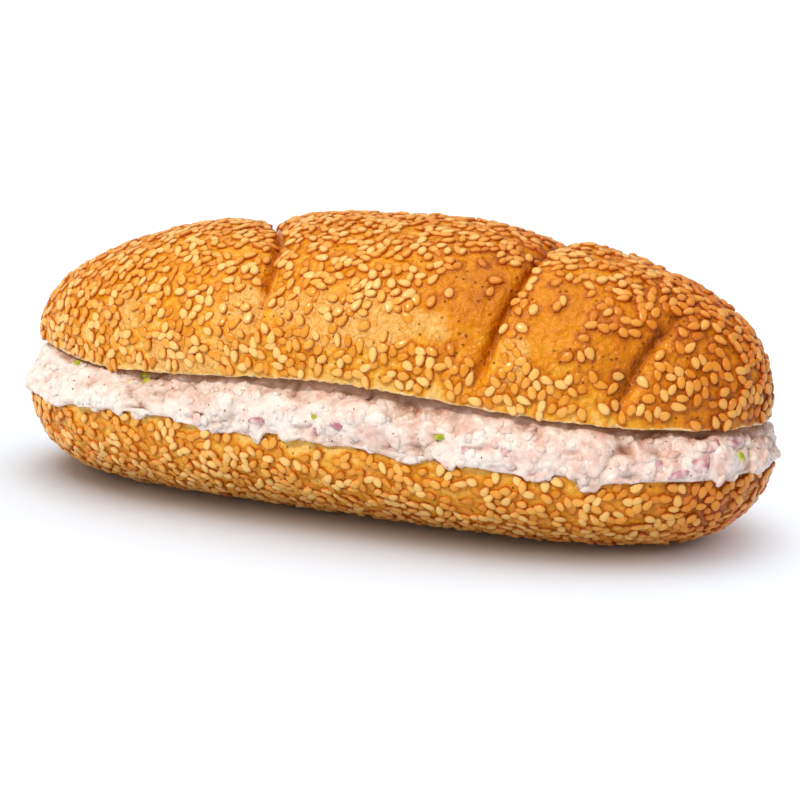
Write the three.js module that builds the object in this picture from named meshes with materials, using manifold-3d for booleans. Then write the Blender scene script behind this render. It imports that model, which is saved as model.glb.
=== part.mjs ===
// Cottage cheese sandwich: a long seeded roll cut lengthwise, filled with a thick layer of
// cottage cheese that has red onion and spring onion in it.
//
// Millimetres, +Z up. The roll lies along X, and its open front looks towards -Y.
// The origin is under the middle of the sandwich, on the surface that it stands on.
//
// Both halves of the roll are skinned over cross-sections. A cross-section is a rounded arch
// from the front rim (angle 0) over the crust (angle 90) to the back rim (angle 180), closed
// by the flat cut face. "u" runs from -1 at the left tip of a half to +1 at its right tip.
import * as THREE from "three";
import Module from "manifold-3d";

const wasm = await Module();
wasm.setup();

// ---- driving dimensions ----

// Moves the whole sandwich, so that the middle of its outline is over the origin.
const SHIFT_Y = -0.14;

// The gap that the filling keeps to the bread, so that touching solids don't overlap.
const GAP = 0.4;

const TOP = {
  length: 190.0,
  width: 77.0,
  height: 36.1, // cut face to crown, before the lobes
  cutHeight: 32.1, // of the cut face over the floor, at its middle
  offsetY: 0.6,
  tilt: 3.06, // degrees that the front is lifted by the filling
  roll: 0.34, // degrees that the right tip is lower
  leftOutline: 2.05, // powers of the outline seen from above, 2 is an ellipse
  rightOutline: 2.64,
  leftProfile: 2.02, // powers of the outline seen from the front
  rightProfile: 3.58,
  arch: 0.77, // power of the cross-section, 1 is an ellipse
  tuck: 0.035, // share of the width by which the rim turns in
  rimDip: -2.8, // the cut edge waves: low at the tips, high just right of the middle
  rimRise: 5.06,
  rimRiseAt: 0.06,
  rimRiseWidth: 0.49,
  leftTipRise: 2.4, // the cut edge turns up at the left tip
};

// The proofed dough stands a little lower on the left and right lobes.
const TOP_LOBES = [
  { at: -66, width: 24, rise: -0.3 },
  { at: 66, width: 20, rise: -2.5 },
];

// The slow unevenness of hand-shaped dough: its height, and the two lengths that it mixes.
const DOUGH_WAVE = { height: 0.45, short: 13, long: 29 };

// How fast two things die out from the rim up the side: the tuck and the rim's wave.
const TUCK_POWER = 6;
const WAVE_POWER = 2;

// Three creases cross the top, where the dough was scored. Each dips towards the middle of the
// section. "path" gives the crease's X for the cosine c and the sine s of the section angle,
// "left" and "right" say how far the dip reaches, and "fade" how it dies out at the rim. A
// crease that is only on the front dies out towards the crown too.
const CREASES = [
  {
    depth: 3.9,
    left: 7,
    right: 4.5,
    fade: [0.15, 0.5],
    frontOnly: false,
    path: (c) => -28.6 + 14.9 * Math.sign(c) * (1 - (1 - Math.abs(c)) ** 1.5),
  },
  {
    depth: 3.6,
    left: 8,
    right: 3.5,
    fade: [0.0, 0.35],
    frontOnly: false,
    path: (c, s) => 44.2 - (c > 0 ? 4.5 : -3) * (1 - s) ** 2,
  },
  {
    depth: 2.4,
    left: 5,
    right: 6,
    fade: [0.02, 0.25],
    frontOnly: true,
    path: (c, s) => 81.5 - (c > 0 ? 12 : 0) * (1 - s) ** 0.7,
  },
];

const CREASE_DIES_AT_CROWN = [0.6, 0.95];
const MOST_SHRINK = 0.5; // the most that a dip may pull a point towards the middle, as a share

const BOTTOM = {
  length: 191.6,
  width: 76.1,
  cutHeight: 20.0,
  outline: 3.36,
  profile: 7.0,
  flatten: 1.5, // how far the round underside is pressed flat against the floor
  arch: 0.92,
  tuck: 0.02,
  rimDip: 0.1,
  rimRise: 4.3,
  rimRiseAt: -0.31,
  rimRiseWidth: 0.67,
  leftTipRise: 0,
};

// Where a cut edge starts to turn up at the left tip and where it is fully up, as -u.
const TIP_RISE_FROM = 0.62;
const TIP_RISE_TO = 0.9;

// How far the filling stands out of the cut: the amount at the bottom edge, halfway up and
// under the top roll, and what is added at the left and right tips. Its lip hangs over the rim
// of the bottom half by "lipDrop", and further at the drips.
const FILLING = {
  bottomEdge: 1.1,
  middle: 0.9,
  topEdge: -1.3,
  leftTip: -1.6,
  rightTip: -0.6,
  tipPower: 10, // how near the tips that addition stays
  outLean: 0.4, // how far the way out leans towards the tips
  lump: 0.8, // height of the lumps of the spread
  lumpSize: 4.2,
  fineLumpShare: 0.5, // height of the lumps half that size
  lumpFade: 0.6, // how much flatter the lumps are under the top roll
  lipInside: 0.75, // the lip's clearance to the middle of the rim, measured outwards
  lipThickness: 0.5,
  lipDrop: 0.35,
  lipShare: 0.7, // share of the drop that the outside of the lip hangs down
  lipUneven: 0.7, // share by which the drop varies
};

// Drips over the front rim: X, how far each hangs down, and its half width. Where the drop is
// below 0 the lip has a notch.
const DRIPS = [
  { x: -73, drop: 1.9, halfWidth: 4.5 },
  { x: 3, drop: 0.7, halfWidth: 4 },
  { x: 26, drop: 1.5, halfWidth: 4 },
  { x: 32, drop: -1.1, halfWidth: 2.5 },
  { x: 55, drop: 1.2, halfWidth: 3.5 },
  { x: 60, drop: -1.6, halfWidth: 2.5 },
  { x: 65, drop: 2.4, halfWidth: 3.5 },
];

// A seed's length and width are those that show at the crust. Its foot is sunk below that. The
// widest places of its head and tail, and the ridge on its back, are shares of the length.
const SEED = {
  length: 3.4,
  width: 2.2,
  height: 0.95,
  sunk: 0.4,
  headAt: 0.22,
  tailAt: -0.28,
  tailWidth: 0.72, // of the head's
  ridge: 0.2,
  ridgeFall: 0.85, // height at the tail end of the ridge
};
const SEED_SIZES = [0.92, 1.08];
const TOP_SEEDS = 150;
const BOTTOM_SEEDS = 100;

// Places on the front of the top roll with few seeds, as X, Z and the half widths of an ellipse.
const BARE_PATCHES = [
  { x: 37, z: 54, halfX: 9, halfZ: 10 },
  { x: 61, z: 51, halfX: 10, halfZ: 8 },
];

// How near the rims and the floor seeds lie, and how far a face with seeds may look down or up.
const TOP_SEEDS_OVER_RIM = 4.5;
const TOP_SEEDS_LOWEST_NORMAL = -0.3;
const BOTTOM_SEEDS_UNDER_RIM = 5;
const BOTTOM_SEEDS_OVER_FLOOR = 2.2;
const BOTTOM_SEEDS_HIGHEST_NORMAL = 0.2;

// Pieces in the filling, placed by u along the front and by the share v of its height. Each is
// turned by a random share of these angles, in radians, and sunk by a share of its thickness.
const CHOPPED_TURNS = [0.3, 0.25, 0.3];
const CHOPPED_SUNK = 0.15;
const RED_ONION = [
  { u: -0.305, v: 0.45, size: [3.2, 2.0, 1.4] },
  { u: -0.125, v: 0.42, size: [4.4, 2.0, 1.9] },
  { u: 0.185, v: 0.3, size: [2.4, 2.0, 1.5] },
  { u: 0.37, v: 0.5, size: [3.0, 2.0, 1.8] },
  { u: 0.66, v: 0.55, size: [3.4, 2.0, 2.2] },
  { u: 0.76, v: 0.5, size: [4.8, 2.0, 2.8] },
  { u: 0.7, v: 0.25, size: [3.6, 2.0, 1.6] },
];
const SPRING_ONION = [
  { u: -0.86, v: 0.75, size: [3.8, 2.0, 1.3] },
  { u: -0.68, v: 0.6, size: [3.4, 2.0, 1.2] },
  { u: 0.13, v: 0.5, size: [3.6, 2.0, 1.5] },
  { u: 0.885, v: 0.6, size: [2.6, 2.0, 1.3] },
];

// Mesh density. A station is a cross-section along the roll.
const TOP_STEPS_BETWEEN_CREASES = [13, 13, 8, 5];
const TOP_ARCH_POINTS = 21;
const BOTTOM_ARCH_POINTS = 15;
const CUT_FACE_POINTS = 3;
const BOTTOM_STATIONS = 39;
const FILLING_STATIONS = 77;
const FILLING_ROWS = 5;
const FILLING_ACROSS = [0.15, 0.85]; // points between its front and back, as shares of the way

// Below this a sine or a radius counts as 0.
const NEARLY_ZERO = 1e-6;

// ---- small tools ----

const radians = THREE.MathUtils.degToRad;

function smooth(from, to, value) {
  return THREE.MathUtils.smoothstep(value, from, to);
}

// A half width or height that falls to 0 at both tips, with its own power at each.
function endFall(u, left, right) {
  const power = u < 0 ? left : right;
  return Math.sqrt(Math.max(0, 1 - Math.abs(u) ** power));
}

// How far the cut edge of a half lies over its level at u.
function rimWave(shape, u) {
  const tip = shape.leftTipRise * smooth(TIP_RISE_FROM, TIP_RISE_TO, -u);
  const middle = shape.rimRise * Math.exp(-(((u - shape.rimRiseAt) / shape.rimRiseWidth) ** 2));
  return shape.rimDip + middle + tip;
}

// Random numbers from 0 to 1, the same on each run.
function randomFrom(seed) {
  let state = seed;
  return () => {
    state = (state + 0x6d2b79f5) | 0;
    let t = Math.imul(state ^ (state >>> 15), 1 | state);
    t = (t + Math.imul(t ^ (t >>> 7), 61 | t)) ^ t;
    return ((t ^ (t >>> 14)) >>> 0) / 4294967296;
  };
}

// Smooth lumps between -1 and 1, one lump for each unit of a and b.
function lumps(a, b) {
  const value = (i, j) => randomFrom(i * 7919 + j * 104729)() * 2 - 1;
  const [i, j] = [Math.floor(a), Math.floor(b)];
  const [s, t] = [smooth(0, 1, a - i), smooth(0, 1, b - j)];
  const low = value(i, j) * (1 - s) + value(i + 1, j) * s;
  const high = value(i, j + 1) * (1 - s) + value(i + 1, j + 1) * s;
  return low * (1 - t) + high * t;
}

// A solid from a list of points and the triangles between them, welded where points coincide.
function solidFrom(points, triangles) {
  const places = new Map();
  const vertices = [];
  const welded = points.map((p) => {
    const key = p.map((n) => n.toFixed(4)).join(" ");
    if (!places.has(key)) {
      places.set(key, vertices.length / 3);
      vertices.push(...p);
    }
    return places.get(key);
  });
  const faces = triangles
    .map((t) => t.map((i) => welded[i]))
    .filter(([a, b, c]) => a !== b && b !== c && c !== a);
  return new wasm.Manifold(
    new wasm.Mesh({
      numProp: 3,
      vertProperties: new Float32Array(vertices),
      triVerts: new Uint32Array(faces.flat()),
    }),
  );
}

// A solid skinned over rings of points. The first and the last ring have closed up, to one
// point or to a line, so they need no cap.
function skinned(rings) {
  const count = rings[0].length;
  const triangles = [];
  for (let i = 0; i < rings.length - 1; i++)
    for (let j = 0; j < count; j++) {
      const a = i * count + j;
      const b = i * count + ((j + 1) % count);
      triangles.push([a, a + count, b], [b, a + count, b + count]);
    }
  return solidFrom(rings.flat(), triangles);
}

// A solid from a three.js geometry, placed by a matrix.
function solidOf(geometry, matrix) {
  const position = geometry.getAttribute("position");
  const points = [];
  for (let i = 0; i < position.count; i++) {
    const p = new THREE.Vector3().fromBufferAttribute(position, i).applyMatrix4(matrix);
    points.push(p.toArray());
  }
  const index = geometry.index ? [...geometry.index.array] : points.map((_, i) => i);
  const triangles = [];
  for (let i = 0; i < index.length; i += 3) triangles.push(index.slice(i, i + 3));
  return solidFrom(points, triangles);
}

// The matrix of a thing that lies on a surface: its Z along the normal, turned by spin.
function lyingOn(point, normal, spin, scale = [1, 1, 1]) {
  const turn = new THREE.Quaternion().setFromUnitVectors(new THREE.Vector3(0, 0, 1), normal);
  turn.multiply(new THREE.Quaternion().setFromAxisAngle(new THREE.Vector3(0, 0, 1), spin));
  return new THREE.Matrix4().compose(point, turn, new THREE.Vector3(...scale));
}

// ---- the roll ----

// Puts a point of the level top half where the half lies: tilted, rolled and lifted.
function placeTop([x, y, z]) {
  const [tilt, roll] = [radians(TOP.tilt), radians(TOP.roll)];
  const lifted = z * Math.cos(tilt) - y * Math.sin(tilt);
  return [
    x * Math.cos(roll) + lifted * Math.sin(roll),
    y * Math.cos(tilt) + z * Math.sin(tilt) + TOP.offsetY + SHIFT_Y,
    lifted * Math.cos(roll) - x * Math.sin(roll) + TOP.cutHeight,
  ];
}

// The stations of the top half: X where each crosses the crown, closer together towards a
// crease and towards the tips.
function topStations() {
  const half = TOP.length / 2;
  const anchors = [-half, ...CREASES.map((crease) => crease.path(0, 1)), half];
  const stations = [-half];
  TOP_STEPS_BETWEEN_CREASES.forEach((steps, k) => {
    for (let i = 1; i <= steps; i++) {
      const share = (1 - Math.cos((Math.PI * i) / steps)) / 2;
      stations.push(anchors[k] + share * (anchors[k + 1] - anchors[k]));
    }
  });
  return stations;
}

// Slides a station sideways at a section angle, so that the mesh follows the creases.
function slideAlongCreases(x, c, s) {
  const half = TOP.length / 2;
  const from = [-half, ...CREASES.map((crease) => crease.path(0, 1)), half];
  const to = [-half, ...CREASES.map((crease) => crease.path(c, s)), half];
  let k = 0;
  while (k < from.length - 2 && x > from[k + 1]) k++;
  return to[k] + ((x - from[k]) / (from[k + 1] - from[k])) * (to[k + 1] - to[k]);
}

function creaseDip(x, c, s) {
  let dip = 0;
  for (const crease of CREASES) {
    const away = x - crease.path(c, s);
    const reach = away < 0 ? crease.left : crease.right;
    const front = crease.frontOnly ? (1 - smooth(...CREASE_DIES_AT_CROWN, s)) * (c > 0 ? 1 : 0) : 1;
    dip += crease.depth * Math.exp(-Math.abs(away) / reach) * smooth(...crease.fade, s) * front;
  }
  return dip;
}

function doughWave(x, angle) {
  const { height, short, long } = DOUGH_WAVE;
  return height * Math.sin(x / short + 2 * angle) * Math.sin(x / long - angle) * Math.sin(angle) ** 2;
}

// A point of the level top half's crust.
function topCrust(station, angle) {
  const [c, s] = [Math.cos(angle), Math.sin(angle)];
  const x = slideAlongCreases(station, c, s);
  const u = x / (TOP.length / 2);
  const halfWidth = (TOP.width / 2) * endFall(u, TOP.leftOutline, TOP.rightOutline);
  let height = TOP.height;
  for (const lobe of TOP_LOBES) height += lobe.rise * Math.exp(-(((x - lobe.at) / lobe.width) ** 2));
  height *= endFall(u, TOP.leftProfile, TOP.rightProfile);
  const y = -halfWidth * c * (1 - TOP.tuck * (1 - s) ** TUCK_POWER);
  const z = height * Math.max(s, 0) ** TOP.arch;
  const core = height / 4;
  const radius = Math.max(Math.hypot(y, z - core), NEARLY_ZERO);
  const dip = creaseDip(x, c, s) - doughWave(x, angle);
  const shrink = s < NEARLY_ZERO ? 1 : 1 - Math.min(dip / radius, MOST_SHRINK);
  const wave = rimWave(TOP, u) * (1 - s) ** WAVE_POWER;
  return [x, y * shrink, core + (z - core) * shrink + wave];
}

// A point of the bottom half's crust.
function bottomCrust(x, angle) {
  const [c, s] = [Math.cos(angle), Math.max(Math.sin(angle), 0)];
  const u = x / (BOTTOM.length / 2);
  const halfWidth = (BOTTOM.width / 2) * endFall(u, BOTTOM.outline, BOTTOM.outline);
  const depth = (BOTTOM.cutHeight + BOTTOM.flatten) * endFall(u, BOTTOM.profile, BOTTOM.profile);
  const y = -halfWidth * c * (1 - BOTTOM.tuck * (1 - s) ** TUCK_POWER);
  const z = Math.max(BOTTOM.cutHeight - depth * s ** BOTTOM.arch, 0);
  return [x, y + SHIFT_Y, z + rimWave(BOTTOM, u) * (1 - s) ** WAVE_POWER];
}

// A cross-section: the arch, then the cut face from the back rim to the front rim.
function section(archPoints, pointAt) {
  const ring = [];
  for (let i = 0; i < archPoints; i++) ring.push(pointAt((Math.PI * i) / (archPoints - 1)));
  const [back, front] = [ring[archPoints - 1], ring[0]];
  for (let i = 1; i <= CUT_FACE_POINTS; i++) {
    const t = i / (CUT_FACE_POINTS + 1);
    ring.push(back.map((n, axis) => n + (front[axis] - n) * t));
  }
  return ring;
}

function topHalf() {
  const rings = topStations().map((x) => section(TOP_ARCH_POINTS, (angle) => placeTop(topCrust(x, angle))));
  return skinned(rings);
}

function bottomHalf() {
  const rings = [];
  for (let i = 0; i < BOTTOM_STATIONS; i++) {
    const x = (-BOTTOM.length / 2) * Math.cos((Math.PI * i) / (BOTTOM_STATIONS - 1));
    rings.push(section(BOTTOM_ARCH_POINTS, (angle) => bottomCrust(x, angle)).reverse());
  }
  return skinned(rings);
}

// ---- sesame seeds ----

// One seed: sides that slope up from a drop-shaped foot to a ridge along its back.
function seedSolid(point, normal, spin, scale) {
  const { length, width, height, sunk } = SEED;
  const [headAt, tailAt, ridge] = [length * SEED.headAt, length * SEED.tailAt, length * SEED.ridge];
  const [head, tail] = [6, 7]; // the ridge's ends, after the six points of the foot
  const tailHalf = (width / 2) * SEED.tailWidth;
  const foot = [
    [length / 2, 0],
    [headAt, width / 2],
    [tailAt, tailHalf],
    [-length / 2, 0],
    [tailAt, -tailHalf],
    [headAt, -width / 2],
  ];
  const spread = (height + sunk) / height;
  const points = foot.map(([x, y]) => [x * spread, y * spread, -sunk]);
  points.push([ridge, 0, height], [-ridge, 0, height * SEED.ridgeFall]);
  const triangles = [[1, 2, head], [2, tail, head], [2, 3, tail], [3, 4, tail]];
  triangles.push([4, head, tail], [4, 5, head], [5, 0, head], [0, 1, head]);
  for (let i = 1; i < 5; i++) triangles.push([0, i + 1, i]);
  const matrix = lyingOn(point, normal, spin, [scale, scale, 1]);
  const placed = points.map((p) => new THREE.Vector3(...p).applyMatrix4(matrix).toArray());
  return solidFrom(placed, triangles);
}

// A picker of random places on a solid's surface, even by area, with the surface's normal.
function surfacePicker(solid, random) {
  const { vertProperties, triVerts } = solid.getMesh();
  const corner = (i) => new THREE.Vector3().fromArray(vertProperties, triVerts[i] * 3);
  const faces = [];
  let total = 0;
  for (let i = 0; i < triVerts.length; i += 3) {
    const face = new THREE.Triangle(corner(i), corner(i + 1), corner(i + 2));
    total += face.getArea();
    faces.push({ face, total });
  }
  return () => {
    const wanted = random() * total;
    const { face } = faces.find((f) => f.total >= wanted);
    const [a, b] = [Math.sqrt(random()), random()];
    const point = new THREE.Vector3()
      .addScaledVector(face.a, 1 - a)
      .addScaledVector(face.b, a * (1 - b))
      .addScaledVector(face.c, a * b);
    return { point, normal: face.getNormal(new THREE.Vector3()) };
  };
}

// Places spread evenly: each is the farthest from the others of a few dozen random ones.
function spreadPlaces(solid, count, allowed, seed) {
  const tries = 24;
  const random = randomFrom(seed);
  const pick = surfacePicker(solid, random);
  const places = [];
  while (places.length < count) {
    let best = null;
    for (let i = 0; i < tries; i++) {
      const place = pick();
      if (!allowed(place)) continue;
      const room = Math.min(Infinity, ...places.map((p) => p.point.distanceTo(place.point)));
      if (!best || room > best.room) best = { ...place, room };
    }
    if (best) places.push(best);
  }
  return places;
}

function withSeeds(solid, count, allowed, seed) {
  const random = randomFrom(seed + 1);
  const seeds = spreadPlaces(solid, count, allowed, seed).map(({ point, normal }) =>
    seedSolid(point, normal, random() * 2 * Math.PI, THREE.MathUtils.lerp(...SEED_SIZES, random())),
  );
  return wasm.Manifold.union([solid, ...seeds]);
}

function onTopCrust({ point, normal }) {
  const overRim = point.z - TOP.cutHeight - rimWave(TOP, point.x / (TOP.length / 2));
  if (overRim < TOP_SEEDS_OVER_RIM || normal.z < TOP_SEEDS_LOWEST_NORMAL) return false;
  return !BARE_PATCHES.some(
    (p) => point.y < 0 && Math.hypot((point.x - p.x) / p.halfX, (point.z - p.z) / p.halfZ) < 1,
  );
}

function onBottomCrust({ point, normal }) {
  const underRim = BOTTOM.cutHeight + rimWave(BOTTOM, point.x / (BOTTOM.length / 2)) - point.z;
  const inBand = underRim > BOTTOM_SEEDS_UNDER_RIM && point.z > BOTTOM_SEEDS_OVER_FLOOR;
  return inBand && normal.z < BOTTOM_SEEDS_HIGHEST_NORMAL;
}

// ---- the filling ----

// The rims of both halves at the angle "round" along their outline, and the way out of it.
function rims(round, side) {
  const u = -Math.cos(round);
  const low = bottomCrust((u * BOTTOM.length) / 2, side > 0 ? Math.PI : 0);
  const width = (TOP.width / 2) * endFall(u, TOP.leftOutline, TOP.rightOutline);
  const high = placeTop([(u * TOP.length) / 2, side * width * (1 - TOP.tuck), rimWave(TOP, u)]);
  const out = new THREE.Vector2(u * FILLING.outLean, side * Math.sin(round)).normalize();
  const tip = (u < 0 ? FILLING.leftTip : FILLING.rightTip) * Math.abs(u) ** FILLING.tipPower;
  return { low, high, out, tip };
}

// How far the filling stands out at a share v of its height.
function bulge(v, tip, x, y, z) {
  const edges = FILLING.bottomEdge * (1 - v) + FILLING.topEdge * v;
  const belly = 4 * v * (1 - v) * (FILLING.middle - (FILLING.bottomEdge + FILLING.topEdge) / 2);
  const size = FILLING.lumpSize;
  const coarse = lumps(x / size + 9, (z + y) / size);
  const fine = lumps((2 * x) / size, (2 * z + y) / size);
  const uneven = FILLING.lump * (coarse + FILLING.fineLumpShare * fine) * (1 - FILLING.lumpFade * v);
  return edges + belly + tip + uneven;
}

// How far the lip hangs down at X, on the front or the back.
function lipDrop(x, side) {
  let drop = FILLING.lipDrop * (1 + FILLING.lipUneven * lumps(x / FILLING.lumpSize, side * 7));
  if (side > 0) return drop;
  for (const drip of DRIPS) drop += drip.drop * Math.exp(-(((x - drip.x) / drip.halfWidth) ** 2));
  return drop;
}

// The filling's side from its lip to the top: under the lip, round it, and up the side.
function fillingSide(round, side) {
  const { low, high, out, tip } = rims(round, side);
  const drop = lipDrop(low[0], side);
  const outwards = (from, away, z) => [from[0] + out.x * away, from[1] + out.y * away, z];
  const lipOut = Math.max(FILLING.lipInside + FILLING.lipThickness, bulge(0, tip, ...low));
  const column = [
    outwards(low, FILLING.lipInside, low[2] + GAP),
    outwards(low, FILLING.lipInside, low[2] - drop),
    outwards(low, lipOut, low[2] - drop * FILLING.lipShare),
  ];
  const [bottom, top] = [low[2] + GAP, high[2] - GAP];
  for (let i = 1; i <= FILLING_ROWS; i++) {
    const v = i / FILLING_ROWS;
    const from = low.map((n, axis) => n + (high[axis] - n) * v);
    const z = bottom + (top - bottom) * v;
    column.push(outwards(from, bulge(v, tip, from[0], from[1], z), z));
  }
  return column;
}

// A cross-section of the filling: up the front, back over the top, down the back, and home.
function fillingSection(round) {
  const atTip = Math.sin(round) < NEARLY_ZERO;
  const front = fillingSide(round, -1);
  const back = atTip ? front : fillingSide(round, 1);
  const across = (from, to) => FILLING_ACROSS.map((t) => from.map((n, axis) => n + (to[axis] - n) * t));
  const top = across(front.at(-1), back.at(-1));
  return [...front, ...top, ...[...back].reverse(), ...across(back[0], front[0])];
}

// A chopped piece of onion, half sunk in the front of the filling.
function choppedSolid({ u, v, size }, random) {
  const column = fillingSide(Math.acos(-u), -1);
  const [x, y, z] = column[2 + Math.max(1, Math.round(v * FILLING_ROWS))];
  const [pitch, lean, yaw] = CHOPPED_TURNS;
  const turn = new THREE.Euler(pitch * random(), lean * (2 * random() - 1), yaw * random());
  const sunk = y + size[1] * CHOPPED_SUNK;
  const matrix = new THREE.Matrix4().makeRotationFromEuler(turn).setPosition(x, sunk, z);
  return solidOf(new THREE.BoxGeometry(...size), matrix);
}

function filling() {
  const rings = [];
  for (let i = 0; i < FILLING_STATIONS; i++) {
    rings.push(fillingSection((Math.PI * i) / (FILLING_STATIONS - 1)));
  }
  const random = randomFrom(5);
  const chopped = [...RED_ONION, ...SPRING_ONION].map((piece) => choppedSolid(piece, random));
  return wasm.Manifold.union([skinned(rings), ...chopped]);
}

// ---- the sandwich ----

function meshOf(name, solid, look) {
  const { vertProperties, triVerts } = solid.getMesh();
  const geometry = new THREE.BufferGeometry();
  geometry.setAttribute("position", new THREE.BufferAttribute(vertProperties, 3));
  geometry.setIndex(new THREE.BufferAttribute(triVerts, 1));
  geometry.computeVertexNormals();
  const mesh = new THREE.Mesh(geometry, new THREE.MeshStandardMaterial({ metalness: 0, ...look }));
  mesh.name = name;
  return mesh;
}

const sandwich = new THREE.Group();
sandwich.name = "cottage_cheese_sandwich";
sandwich.add(
  meshOf("top_roll", withSeeds(topHalf(), TOP_SEEDS, onTopCrust, 11), { color: 0xdf9438, roughness: 0.38 }),
  meshOf("bottom_roll", withSeeds(bottomHalf(), BOTTOM_SEEDS, onBottomCrust, 23), {
    color: 0xe3a04a,
    roughness: 0.45,
  }),
  meshOf("filling", filling(), { color: 0xf1dfd6, roughness: 0.3 }),
);

export default sandwich;
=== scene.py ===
import math
from functools import partial
from types import SimpleNamespace as Sizes

import bmesh
import bpy
import numpy as np
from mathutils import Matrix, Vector
from mathutils.kdtree import KDTree


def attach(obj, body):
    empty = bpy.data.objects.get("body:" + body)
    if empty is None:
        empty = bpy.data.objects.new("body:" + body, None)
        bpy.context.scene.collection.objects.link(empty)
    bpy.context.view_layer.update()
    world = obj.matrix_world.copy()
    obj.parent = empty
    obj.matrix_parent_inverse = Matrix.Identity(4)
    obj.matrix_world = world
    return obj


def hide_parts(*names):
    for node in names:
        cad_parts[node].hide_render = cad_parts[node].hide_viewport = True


# Looks of the cottage cheese sandwich: an egg-washed sesame roll cut lengthwise, and a thick
# spread of cottage cheese with chopped red onion and spring onion between its halves.
#
# Lengths are in millimetres until a mesh is made. "u" runs from -1 at the left tip of a half
# to +1 at its right tip. A section angle runs from 0 at the front rim over the crust to pi at
# the back rim, and c and s are its cosine and sine. Grids of points are indexed by station
# along the roll, then by column round the section. "away" is how far a point of the crust lies
# from the cut edge.

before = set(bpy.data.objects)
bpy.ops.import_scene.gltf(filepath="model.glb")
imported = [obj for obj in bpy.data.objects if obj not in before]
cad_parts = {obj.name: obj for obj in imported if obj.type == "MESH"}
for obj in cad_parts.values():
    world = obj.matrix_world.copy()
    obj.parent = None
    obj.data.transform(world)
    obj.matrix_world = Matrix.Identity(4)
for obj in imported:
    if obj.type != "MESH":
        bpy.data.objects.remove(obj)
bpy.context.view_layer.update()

MM = 0.001
scene = bpy.context.scene

# ---- shape of the solids ----

SHIFT_Y = -0.14
GAP = 0.4  # between the filling and the bread

TOP = Sizes(
    length=190.0, width=77.0, height=36.1, cut_height=32.1, offset_y=0.6,
    tilt=math.radians(3.06), roll=math.radians(0.34),
    outline=(2.05, 2.64), profile=(2.02, 3.58), arch=0.77, tuck=0.035,
    rim_dip=-2.8, rim_rise=5.06, rim_rise_at=0.06, rim_rise_width=0.49, left_tip_rise=2.4,
)
TOP_LOBES = ((-66, 24, -0.3), (66, 20, -2.5))  # X, the width and the rise
BOTTOM = Sizes(
    length=191.6, width=76.1, cut_height=20.0,
    outline=(3.36, 3.36), profile=(7.0, 7.0), flatten=1.5, arch=0.92, tuck=0.02,
    rim_dip=0.1, rim_rise=4.3, rim_rise_at=-0.31, rim_rise_width=0.67, left_tip_rise=0.0,
)
# Where a cut edge starts to turn up at the left tip and where it is fully up, as -u.
TIP_RISE = (0.62, 0.9)

FILLING = Sizes(
    bottom_edge=1.1, middle=0.9, top_edge=-1.3, left_tip=-1.6, right_tip=-0.6, tip_power=10,
    out_lean=0.4, lip_inside=0.75, lip_drop=0.35, lip_round=1.3,
)
# X, how far the drip hangs down and its half width. Where the drop is below 0 is a notch.
DRIPS = (
    (-73, 1.9, 4.5), (3, 0.7, 4.0), (26, 1.5, 4.0), (32, -1.1, 2.5),
    (55, 1.2, 3.5), (60, -1.6, 2.5), (65, 2.4, 3.5),
)


def left_crease(c, s):
    return -28.6 + 14.9 * np.sign(c) * (1 - (1 - np.abs(c)) ** 1.5)


def middle_crease(c, s):
    return 44.2 - np.where(c > 0, 4.5, -3.0) * (1 - s) ** 2


def right_crease(c, s):
    return 81.5 - np.where(c > 0, 12.0, 0.0) * (1 - s) ** 0.7


# "depth" and the reaches to the left and right give the wide dip, which starts at the first
# sine of "fade" and is whole at the second. "seam" is the depth of the narrow fold in it, and
# "pale" says how much pale dough shows on its right.
CREASES = (
    Sizes(
        path=left_crease, depth=3.9, left=7, right=4.5,
        fade=(0.15, 0.5), front_only=False, seam=1.5, pale=0.25,
    ),
    Sizes(
        path=middle_crease, depth=3.6, left=8, right=3.5,
        fade=(0.0, 0.35), front_only=False, seam=2.1, pale=0.4,
    ),
    Sizes(
        path=right_crease, depth=2.4, left=5, right=6,
        fade=(0.02, 0.25), front_only=True, seam=1.1, pale=0.4,
    ),
)
SEAM_WIDTH = 0.9
WAVE = 0.45  # slow waves of the top half's crust

# ---- detail that only shows here ----

TOP_STATIONS = 361
TOP_COLUMNS = 196
BOTTOM_STATIONS = 361
BOTTOM_COLUMNS = 150
FILLING_STATIONS = 1240
FILLING_ROWS = 52
CUT_FACE_INSETS = (0.4, 1.0, 2.0, 4.0, 9.0)
FILLING_FACE_SHARES = (0.03, 0.15, 0.85, 0.97)  # columns across the filling's hidden faces

# Places on the front of the top half, as X, Z and half sizes: bare glossy crust with few
# seeds, and dough that stretched and tore late in the oven, so that it stayed pale.
BARE_PATCHES = ((34, 54, 9, 10.5), (56, 51, 10, 9), (67, 46, 5, 6))
TORN_PATCHES = (
    (10, 50.5, 22, 6.5), (-19, 48.5, 7, 8), (-53, 46, 9, 5), (-34, 38.5, 13, 5), (48, 44, 4, 6),
)

# Layers of unevenness: how high, how wide, and the random seed. Baked crust has slow swells,
# blisters, dimples and wrinkles. A cut edge goes up and down as a knife leaves it.
SKIN_LAYERS = ((0.3, 14, 3), (0.18, 5, 4), (0.15, 2.2, 5), (0.09, 1.2, 2))
EDGE_LAYERS = ((0.28, 1.1, 21), (0.2, 3.2, 22))
LUMP_LAYERS = ((1.0, (9, 9, 6), 61), (0.5, 4.0, 62))
# Curds packed in the spread, in folds of it: how high, how wide, and the random seed.
PACKED_CURDS = ((1.3, 5.0, 63), (0.6, 2.6, 67))
FINE_CURDS = (0.14, 1.3, 68)

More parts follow.
